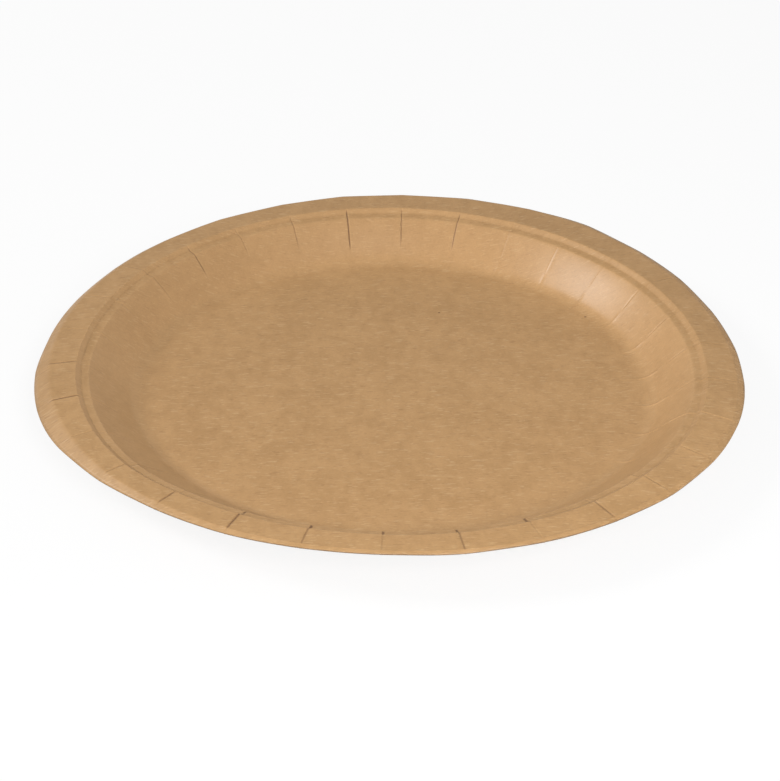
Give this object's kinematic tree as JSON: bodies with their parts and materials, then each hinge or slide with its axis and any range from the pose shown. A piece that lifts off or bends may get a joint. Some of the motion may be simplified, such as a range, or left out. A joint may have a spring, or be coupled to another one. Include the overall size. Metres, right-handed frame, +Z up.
{
  "type": "paper plate",
  "caption": "Round pressed kraft paper plate with a pleated sidewall, a narrow step and a broad rim with a turned-down edge.",
  "frame": {"origin": "middle of the underside of the flat base, in the plane of the table", "axes": "+Z up along the plate's axis, +X towards one of the 30 pleats"},
  "size_m": [0.23, 0.23, 0.0155],
  "materials": {
    "kraft_board": "matt"
  },
  "bodies": {
    "root": {"plate": "kraft_board"}
  },
  "joints": []
}
